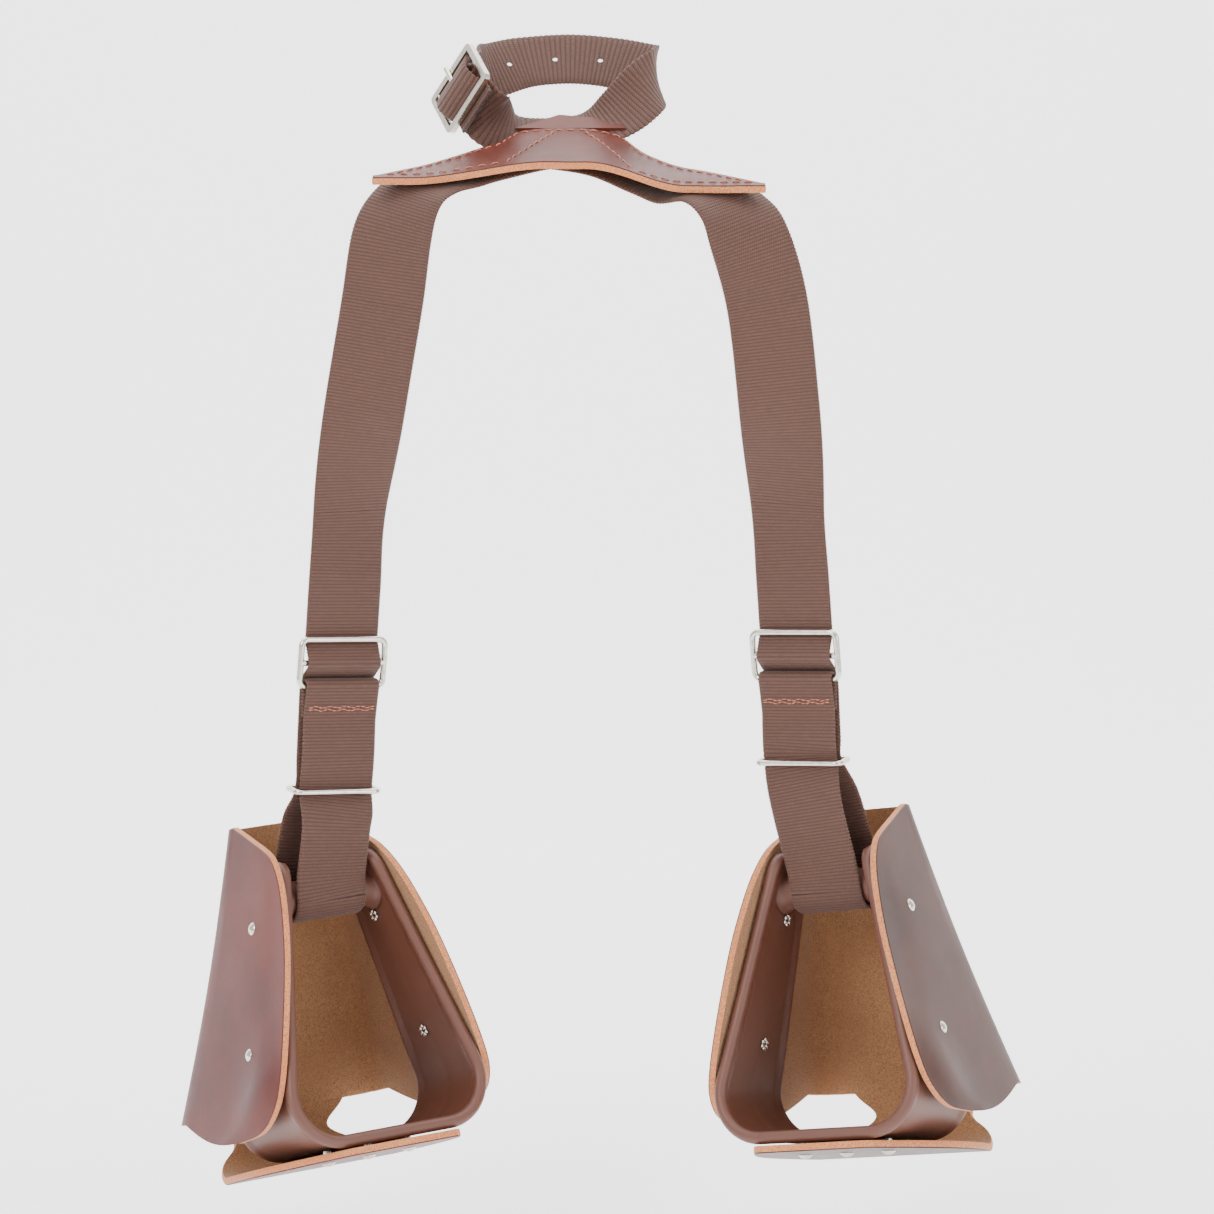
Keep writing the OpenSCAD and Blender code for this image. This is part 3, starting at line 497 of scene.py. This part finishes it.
def yoke_leather():
    across, deep = 120, 14
    top = []
    for i in range(across + 1):
        x = HALF * (2 * i / across - 1)
        rear = sum(yoke_rear(max(-HALF, min(HALF, x + d))) for d in (-4, -2, 0, 2, 4)) / 5
        row = []
        for j in range(deep + 1):
            y = FRONT + (rear - FRONT) * j / deep
            z = yoke_top(x, y) + 0.5 * noise(Vector((x / 30, y / 25, 2)))
            row.append(Vector((x, y, z)))
        top.append(row)
    under = [[p - Vector((0, 0, LEATHER)) for p in row] for row in top]
    o = sheet("yoke_leather_piece", top, under, [YOKE, SUEDE, EDGE], seed=21)
    settle(o, "yoke", "yoke_leather", "yoke_leather")

    def line(xs, ys):
        path = [Vector((x, y, yoke_top(x, y) + 0.15)) for x, y in zip(xs, ys)]
        return path, [Vector((0, 0, 1))] * len(path)

    steps, cross_end = 60, 34
    front_x = [-100 + 200 * i / steps for i in range(steps + 1)]
    front_y = [FRONT + 6] * (steps + 1)
    thread("yoke_front_stitch_left", *line([x for x in front_x if x <= -cross_end], front_y), "yoke", seed=31)
    thread("yoke_front_stitch_right", *line([x for x in front_x if x >= cross_end], front_y), "yoke", seed=32)
    rear_x = [-94 + 188 * i / 90 for i in range(91)]
    rear_y = [yoke_rear(x) - 5 if abs(x) < 28 else max(FRONT + 7, yoke_rear(x) - 4.5) for x in rear_x]
    thread("yoke_rear_stitch", *line(rear_x, rear_y), "yoke", seed=33)
    for label, m in (("left", -1), ("right", 1)):
        xs = [m * (8 + 26 * i / 20) for i in range(21)]
        ys = [-26 - (FRONT + 6 + 26) * -1 * i / 20 for i in range(21)]
        thread("yoke_cross_stitch_" + label, *line(xs, ys), "yoke", seed=34 + m)


yoke_leather()

UNDER = (LEATHER + 2 * FIT + HORN_T + STRAP_T / 2, LEATHER + 3 * FIT + HORN_T + STRAP_T * 1.5)


def arm_point(s, m, d):
    x = CROSS[0] + d * m * math.cos(math.radians(ANGLE))
    y = CROSS[1] - d * math.sin(math.radians(ANGLE))
    return Vector((x, y, yoke_top(x, y) - UNDER[s]))


def hanging_straps(label, s, m):
    edge = Vector((-m * math.sin(math.radians(ANGLE)), -math.cos(math.radians(ANGLE)), -0.15))
    way = SLIDE_TURN[s] @ Vector((1, 0, 0))
    line = [(arm_point(s, m, d), edge) for d in (-43, -20, 0, 22, 44, 60)]
    line += [((m * 73, -74, -54 - 4.5 * s), (-m * 0.55, -0.83, -0.2)),
             ((m * 86, -86, -61 - 3.5 * s), (-m * 0.8, -0.58, -0.15)),
             ((m * (95 + s), -94.5, -80), (-m * 0.98, -0.2, 0.02)),
             ((m * (101 + 6 * s), -96, -118), (-m, 0, 0.12)),
             ((m * (111 + 3 * s), -93, -176), (-m, 0, 0.1)),
             (slide_point(s, 0, 4, 84), -m * way), (slide_point(s, 0, ROUND + 0.4, 42), -m * way),
             (slide_point(s, 0, ROUND, REACH), -m * way)]
    dense = spline(line, 12)

    def piece(name, start, end):
        a, b = 12 * start, 12 * end
        return band(name, dense[a:b + 1], STRAP_W, STRAP_T, lead=dense[max(0, a - 1)][0],
                    trail=dense[min(len(dense) - 1, b + 1)][0])

    o = piece(label + "_yoke_arm_webbing", 0, 7)
    settle(o, "yoke", "brown_webbing", label + "_yoke_webbing")
    o = piece(label + "_bend_webbing", 7, 9)
    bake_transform(o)
    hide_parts(label + "_strap_bend")
    o = piece(label + "_upper_webbing", 9, 11)
    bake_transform(o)
    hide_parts(label + "_strap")
    o = piece(label + "_lower_webbing", 11, 13)
    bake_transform(o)
    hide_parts(label + "_strap_lower")


# ---------- Slide, sewn end and loop ----------

SLIDE_HALF, WIRE, LAYER_GAP = 13, 3.6, 6.6
ROUND = WIRE / 2 + FIT + STRAP_T / 2
OUTER_ROUND = ROUND + FIT + STRAP_T
REACH, SEWN, FRONT_Y = SLIDE_HALF + 6, 32, -1.6
WRAP = 20 / 2 + STRAP_T / 2 + 2 * FIT


def loop_webbing(label, s):
    way = SLIDE_TURN[s] @ Vector((1, 0, 0))
    bar_way = BAR_TURN[s] @ Vector((1, 0, 0))

    def arc(z, radius, a, b, count):
        turns = [math.radians(a + (b - a) * i / count) for i in range(count + 1)]
        return [(slide_point(s, 0, -radius * math.cos(t), z + radius * math.sin(t)), way) for t in turns]

    def run(*pairs):
        return [(slide_point(s, 0, y, z), way) for y, z in pairs]

    up = math.degrees(math.asin(2 * ROUND / SLIDE_HALF))
    down = math.degrees(math.asin((ROUND + OUTER_ROUND) / SLIDE_HALF))
    roll = (run((ROUND, REACH)) + arc(SLIDE_HALF, ROUND, 180, 180 + up, 4) + arc(0, ROUND, up, -down, 14)
            + arc(-SLIDE_HALF, OUTER_ROUND, 180 - down, 180, 6) + run((OUTER_ROUND, -REACH)))
    o = band(label + "_roll_webbing", roll, STRAP_W, STRAP_T)
    settle(o, label + "_slide", "brown_webbing", label + "_strap_roll")
    doubled = FRONT_Y + STRAP_T + 0.1
    sewn = (run((FRONT_Y, -SEWN), (FRONT_Y - 0.8, -SLIDE_HALF - 8)) + arc(-SLIDE_HALF, ROUND, 0, 180, 16)
            + run((doubled + 1.2, -SLIDE_HALF - 8), (doubled, -SEWN + 2)))
    o = band(label + "_sewn_webbing", sewn, STRAP_W, STRAP_T)
    settle(o, label + "_slide", "brown_webbing", label + "_sewn_end")
    for row, z in enumerate((-24.2, -25.8)):
        path = [slide_point(s, x, FRONT_Y - STRAP_T / 2 - 0.55, z + 0.5 * math.sin(x * 0.7 + row))
                for x in (-20 + 40 * i / 24 for i in range(25))]
        out = SLIDE_TURN[s] @ Vector((0, -1, 0))
        thread(f"{label}_bar_tack_{row}", path, [out] * 25, label + "_slide", 2.9, 2.5, 0.34, 50 + row)

    half = LAYER_GAP / 2
    mid = -(SEWN + KEEPER_DROP[s]) / 2
    for face, sign, y0, z0, bow in (("front", -1, FRONT_Y, -SEWN, 0), ("back", 1, OUTER_ROUND, -REACH, 0.8)):
        route = [(slide_point(s, 0, y0, z0), way), (slide_point(s, 0, sign * (half + bow), mid), way),
                 (slide_point(s, 0, sign * half, -KEEPER_DROP[s]), way),
                 ((slide_point(s, 0, sign * (half + 6), -KEEPER_DROP[s])
                   + bar_point(s, 0, sign * (WRAP + 2), 26)) / 2, bar_way),
                 (bar_point(s, 0, sign * WRAP, 14), bar_way), (bar_point(s, 0, sign * WRAP, 0), bar_way)]
        o = band(f"{label}_{face}_layer_webbing", spline(route, 10), STRAP_W, STRAP_T)
        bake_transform(o)
        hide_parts(f"{label}_loop_{face}")
    wrap = [(bar_point(s, 0, -WRAP * math.cos(a), -WRAP * math.sin(a)), bar_way)
            for a in (math.pi * i / 24 for i in range(25))]
    o = band(label + "_wrap_webbing", wrap, STRAP_W, STRAP_T)
    settle(o, label + "_loop", "brown_webbing", label + "_loop_wrap")


# ---------- Stirrup frame ----------

CORNER, BEAD, WALL, EAR = 24, 3.6, 2.1, 156
EAR_ROUND = 12
TREAD_HALF, NECK_HALF, DEPTH_HALF, NECK_DEPTH_HALF = 64, 25, 37, 19
LEAN = math.atan((TREAD_HALF - NECK_HALF) / EAR)


def moulded_frame(label, s):
    """A moulded band with a bead along both edges, two rounded ears and a round crossbar."""
    lean = LEAN
    edge_tan = (DEPTH_HALF - NECK_DEPTH_HALF) / EAR
    corner_x = TREAD_HALF - CORNER / math.tan(math.pi / 4 - lean / 2)
    stations = []
    side_low = CORNER + CORNER * math.sin(lean)
    for i in range(61):
        z = EAR - (EAR - side_low) * i / 60
        stations.append(((TREAD_HALF - z * math.tan(lean), z), (math.cos(lean), math.sin(lean))))
    for i in range(1, 25):
        a = lean - (lean + math.pi / 2) * i / 24
        stations.append(((corner_x + CORNER * math.cos(a), CORNER + CORNER * math.sin(a)),
                         (math.cos(a), math.sin(a))))
    for i in range(1, 20):
        stations.append(((corner_x * (1 - i / 20), 0), (0, -1)))
    right = stations + [((0, 0), (0, -1))]
    full = right + [((-p[0], p[1]), (-n[0], n[1])) for p, n in reversed(right[:-1])]
    rows_in, rows_out = [], []
    across = 36
    for (x, z), (nx, nz) in full:
        d = DEPTH_HALF - z * edge_tan
        above = z - EAR + EAR_ROUND
        if above > 0:
            d = min(d, 7 + math.sqrt(max(0, EAR_ROUND ** 2 - above ** 2)) + 1.4 * (1 - above / EAR_ROUND))
        inner, outer = [], []
        for k in range(across + 1):
            u = math.sin(math.pi / 2 * (2 * k / across - 1))
            v = d * u
            e = max(0, min(d - abs(v), EAR - z))
            half = (math.sqrt(max(0, BEAD ** 2 - (BEAD - e) ** 2)) if e < BEAD
                    else WALL + (BEAD - WALL) * (1 - smooth_step((e - BEAD) / 4.5)))
            seam = 0.18 * max(0, 1 - abs(v) / 0.8)
            a, b = WALL - half - seam, WALL + half
            inner.append(stirrup_point(s, x + nx * a, v, z + nz * a))
            outer.append(stirrup_point(s, x + nx * b, v, z + nz * b))
        rows_in.append(inner)
        rows_out.append(outer)
    points = [p for r in rows_in for p in r] + [p for r in rows_out for p in r]
    per, count = across + 1, len(full)
    shift = per * count
    faces = []
    for i in range(count - 1):
        for k in range(across):
            a = i * per + k
            faces.append([a, a + 1, a + per + 1, a + per])
            faces.append([shift + a + per, shift + a + per + 1, shift + a + 1, shift + a])
    around, long = 32, 26
    base = len(points)
    half_bar = TREAD_HALF - CROSSBAR_Z * math.tan(lean) + 1.5
    for i in range(long + 1):
        f = 2 * i / long - 1
        x = half_bar * math.sin(f * math.pi / 2)
        flare = 10 + 2.6 * max(0, 1 - (half_bar - abs(x)) / 4) ** 2
        for k in range(around):
            a = 2 * math.pi * k / around
            points.append(stirrup_point(s, x, flare * math.cos(a), CROSSBAR_Z + flare * math.sin(a)))
    for i in range(long):
        for k in range(around):
            a, b = base + i * around + k, base + i * around + (k + 1) % around
            faces.append([a, b, b + around, a + around])
    o = add_mesh(label + "_moulded_frame", points, faces, [MOULDING], sharp=60)
    shape = bmesh.new()
    shape.from_mesh(o.data)
    bmesh.ops.remove_doubles(shape, verts=shape.verts, dist=0.00002)
    bmesh.ops.recalc_face_normals(shape, faces=shape.faces)
    shape.to_mesh(o.data)
    shape.free()
    settle(o, label + "_stirrup", "brown_moulding", label + "_stirrup_frame")


# ---------- Hood ----------

HOOD_OUT = 4.2 - 2.1 + 4.2 + FIT
LOW, HIGH, TOE = 27, 182, 94
TOE_TOP = 0.44 * TOE
TOE_SLOPE = (TOE - TOE_TOP) / (HIGH - LOW)
FRONT_EDGE = [(14, 9), (-10, 11), (-24, 20), (-31, 34), (-34, 62),
              (-34, 100), (-30, 126), (-24, 144), (-14, 158), (1, 167)]


def side_x(z, out):
    return TREAD_HALF - z * math.tan(LEAN) + out / math.cos(LEAN)


def toe_y(z):
    return TOE - (z - LOW) * TOE_SLOPE - 5 * math.sin(math.pi * (z - LOW) / (HIGH - LOW))


def front_at(j):
    i = min(int(j), len(FRONT_EDGE) - 2)
    t = j - i
    a, b, c, d = (FRONT_EDGE[max(0, min(len(FRONT_EDGE) - 1, i + k))] for k in (-1, 0, 1, 2))
    return [0.5 * (2 * b[k] + (c[k] - a[k]) * t + (2 * a[k] - 5 * b[k] + 4 * c[k] - d[k]) * t * t
                   + (3 * b[k] - a[k] - 3 * c[k] + d[k]) * t ** 3) for k in (0, 1)]


def hood_row(j, out):
    """Half of one level of the hood: side panel, round toe corner, half of the toe wall."""
    y0, z0 = front_at(j)
    f = j / (len(FRONT_EDGE) - 1)
    z1 = LOW + (HIGH - LOW) * f
    r, ty = 15 - 5 * f, toe_y(LOW + (HIGH - LOW) * f)
    half = []
    for i in range(23):
        g = i / 23
        y, z = y0 + (ty - r - y0) * g, z0 + (z1 - z0) * g
        swell = (0.9 * math.sin(math.pi * g) * math.sin(math.pi * min(1, f * 1.1))
                 + 0.5 * noise(Vector((y / 40, z / 50, 7))))
        ease = min(1, g * 4)
        z -= 5 * math.sin(math.pi * g) * (1 - f) ** 4
        swell += 4.5 * math.exp(-((g / 0.28) ** 2)) * math.exp(-(((z - 30) / 22) ** 2)) * min(1, g * 8 + 0.5)
        half.append(Vector((side_x(z, HOOD_OUT + out) + swell * ease, y, z)))
    for i in range(12):
        a = math.radians(90 * i / 11)
        half.append(Vector((side_x(z1, HOOD_OUT) - r + (r + out) * math.cos(a),
                            ty - r + (r + out) * math.sin(a), z1)))
    for i in range(1, 11):
        half.append(Vector(((side_x(z1, HOOD_OUT) - r) * (1 - i / 10), ty + out, z1)))
    return half


def hood(label, s, face):
    steps = 6 * (len(FRONT_EDGE) - 1)

    def grid(out):
        rows = []
        for k in range(steps + 1):
            half = hood_row(k / 6, out)
            rows.append(half + [Vector((-p.x, p.y, p.z)) for p in reversed(half[:-1])])
        return rows

    place = lambda rows: [[stirrup_point(s, *p) for p in r] for r in rows]
    slot = "burgundy_leather" if s == 0 else "brown_leather"
    o = sheet(label + "_hood_walls", place(grid(LEATHER)), place(grid(0)), [face, SUEDE, EDGE], seed=61 + s)
    settle(o, label + "_stirrup", slot, label + "_hood")

    lean = math.atan(TOE_SLOPE)
    low = -HOOD_OUT
    r = (LOW - low) / (1 + math.sin(lean))
    cy, cz = TOE - r * math.cos(lean), low + r
    front = -37 - 2
    wide = side_x(LOW, HOOD_OUT) - 4
    corner_row = 67

    def flap(out):
        rows = []
        bend = [(cy + (r + out) * math.cos(a), cz + (r + out) * math.sin(a))
                for a in (lean - (lean + math.pi / 2) * i / 26 for i in range(27))]
        flat = [(cy - (cy - front) * i / 44, low - out) for i in range(1, 45)]
        for k, (y, z) in enumerate(bend + flat):
            base = cy + r * math.cos(lean - (lean + math.pi / 2) * k / 26) if k < 27 else y
            level = cz + r * math.sin(lean - (lean + math.pi / 2) * k / 26) if k < 27 else low
            if base > 30:
                w = wide - 16 * ((base - 30) / 64) ** 2
            else:
                w = 35 + (wide - 35) * math.sin(math.pi / 2 * (base - front) / (30 - front))
            w -= 14 * math.exp(-(((level - 13) / 9) ** 2))
            if k > corner_row:
                w -= 6 * ((k - corner_row) / 3) ** 3 * 0.4
            rows.append([Vector((-w + 2 * w * i / 30, y, z)) for i in range(31)])
        return rows

    o = sheet(label + "_hood_flap", place(flap(LEATHER)), place(flap(0)), [face, SUEDE, EDGE], seed=71 + s)
    settle(o, label + "_stirrup", slot)


for label, s, m in SIDES:
    hanging_straps(label, s, m)
    loop_webbing(label, s)
    moulded_frame(label, s)
hood("left", 0, BURGUNDY)
hood("right", 1, BROWN)

# ---------- Horn strap ----------

START = ((-23.5, -15, -35.2), (-0.05, -0.87, -0.49))
RING = [START, ((0, -13.5, -34.6), (0, -0.88, -0.48)), ((16, -12, -31), (0.3, -0.78, -0.55)),
        ((30, -8, -22), (0.55, -0.45, -0.7)), ((42, 0, -11), (0.42, -0.2, -0.88)),
        ((47.5, 12, -6), (0.15, -0.25, -0.95)), ((43, 26, -4), (0, -0.5, -0.86)),
        ((25, 36, -0.5), (-0.05, -0.55, -0.83)), ((0, 39, 1.5), (0, -0.56, -0.83)),
        ((-26, 35, 0), (0.05, -0.55, -0.83)), ((-43, 21, -3), (0.05, -0.5, -0.86)),
        ((-52, 4, -3), (-0.15, -0.1, -0.97)),
        ((-57, -9, -3), (-0.45, 0.3, -0.82))]
HORN_RIB = 2.65
BUCKLE_AT = Vector((-60, -24, -9))
BUCKLE_X = Vector((0.35, -0.7, -0.56)).normalized()
BUCKLE_Y = Vector((-0.53, 0.41, -0.84))
BUCKLE_Y = (BUCKLE_Y - BUCKLE_X * BUCKLE_Y.dot(BUCKLE_X)).normalized()
BUCKLE_Z = -BUCKLE_X.cross(BUCKLE_Y)
BAR = 3.4


def buckle_point(x, y, z):
    return BUCKLE_AT + BUCKLE_X * x + BUCKLE_Y * y + BUCKLE_Z * z


FOLD = BAR / 2 + FIT + HORN_T / 2
UNDER_Z = -BAR / 2 - HORN_T / 2 - FIT
TAIL = [(buckle_point(x, 0, z), BUCKLE_Y) for x, z in
        ((-13, UNDER_Z), (-6.5, 2.4), (0, FOLD + HORN_T + 2 * FIT), (6.5, 4), (13, UNDER_Z), (19, UNDER_Z))]
BASE = [START, ((-33, -18, -33), (-0.35, -0.72, -0.6)), ((-41, -22, -27.5), (-0.5, -0.35, -0.79)),
        ((-47, -26, -21), BUCKLE_Y), (buckle_point(7, 0, -5.5), BUCKLE_Y),
        (buckle_point(2, 0, -FOLD - 0.4), BUCKLE_Y)]


def punched(o, centres, way, radius):
    """Cuts the adjusting holes through the webbing."""
    for c in centres:
        bpy.ops.mesh.primitive_cylinder_add(vertices=24, radius=radius * MM, depth=0.03,
                                            location=Vector(c) * MM)
        tool = bpy.context.object
        tool.rotation_mode = "QUATERNION"
        tool.rotation_quaternion = Vector((0, 0, 1)).rotation_difference(Vector(way))
        cut = o.modifiers.new("hole", "BOOLEAN")
        cut.object, cut.operation, cut.solver = tool, "DIFFERENCE", "EXACT"
        bpy.context.view_layer.objects.active = o
        bpy.ops.object.modifier_apply(modifier=cut.name)
        bpy.data.objects.remove(tool)


whole = spline(list(reversed(BASE))[:-1] + RING + TAIL, 10)
joined = 10 * (len(BASE) - 1)
o = band("horn_strap_webbing", whole[joined:], HORN_W, HORN_T, rib=HORN_RIB, lead=whole[joined - 1][0])
punched(o, [(-34, 31, -1), (-8.6, 38.6, 1.2), (16.8, 37.8, 0.8)], (0, 0.83, -0.55), 1.5)
settle(o, "yoke", "brown_webbing", "horn_strap")
fold = [(buckle_point(-FOLD * math.cos(math.radians(a)), 0, FOLD * math.sin(math.radians(a))),
         BUCKLE_Y)
        for a in (-100 + 160 * i / 16 for i in range(17))]
base_line = [(p, w) for p, w in reversed(whole[:joined + 1])]
o = band("horn_strap_fixed_end", base_line + fold[2:], HORN_W, HORN_T, rib=HORN_RIB,
         lead=whole[joined + 1][0])
settle(o, "yoke", "brown_webbing", "horn_strap_base")

# ---------- Finishes on the fixed frame ----------

for name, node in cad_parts.items():
    kind = None
    if "rivets" in name or "slide_frame" in name or "keeper" in name or "buckle" in name:
        kind = NICKEL
    elif name == "yoke_tab":
        kind = YOKE
    if kind:
        node.data.materials.clear()
        node.data.materials.append(kind)
        for polygon in node.data.polygons:
            polygon.use_smooth = True
        node.data.set_sharp_from_angle(angle=math.radians(35))

# ---------- Floor, light and camera ----------

white = bpy.data.materials.new("white paper")
white.use_nodes = True
shader = white.node_tree.nodes["Principled BSDF"]
shader.inputs["Base Color"].default_value = (0.93, 0.93, 0.93, 1)
shader.inputs["Roughness"].default_value = 0.9
shader.inputs["Emission Color"].default_value = (1, 1, 1, 1)
shader.inputs["Emission Strength"].default_value = 0.8
FLOOR = -660
sweep = [(-2500, FLOOR), (900, FLOOR)]
sweep += [(900 + 500 * math.sin(a), FLOOR + 500 - 500 * math.cos(a))
          for a in (math.pi / 2 * i / 16 for i in range(1, 17))]
sweep += [(1400, 3000)]
paper = add_mesh("paper_sweep", [(x, y, z) for y, z in sweep for x in (-3500, 3500)],
                 [[2 * i, 2 * i + 1, 2 * i + 3, 2 * i + 2] for i in range(len(sweep) - 1)],
                 [white], sharp=180)

world = bpy.data.worlds.new("studio")
bpy.context.scene.world = world
world.use_nodes = True
world.node_tree.nodes["Background"].inputs[0].default_value = (1, 1, 1, 1)
world.node_tree.nodes["Background"].inputs[1].default_value = 1.1


def softbox(name, at, aim, size, power):
    light = bpy.data.lights.new(name, "AREA")
    light.shape, light.size, light.energy = "SQUARE", size, power
    o = bpy.data.objects.new(name, light)
    bpy.context.scene.collection.objects.link(o)
    o.location = at
    o.rotation_euler = (Vector(aim) - Vector(at)).to_track_quat("-Z", "Y").to_euler()


softbox("key", (-1.6, -2.2, 1.3), (0, 0, -0.35), 1.4, 55)
softbox("fill", (1.9, -1.9, 0.3), (0, 0, -0.35), 1.4, 26)
softbox("paper_wash", (0, 0.5, 1.6), (0, 1.3, -0.3), 2.2, 60)

ELEVATION, AWAY = math.radians(11), 3.0
camera_data = bpy.data.cameras.new("camera")
camera_data.lens, camera_data.sensor_width = 160.1, 36
camera = bpy.data.objects.new("camera", camera_data)
bpy.context.scene.collection.objects.link(camera)
aim = Vector((0.0205, -0.045, -0.295))
camera.location = aim + Vector((0, -math.cos(ELEVATION), math.sin(ELEVATION))) * AWAY
camera.rotation_euler = (math.pi / 2 - ELEVATION, 0, 0)
bpy.context.scene.camera = camera
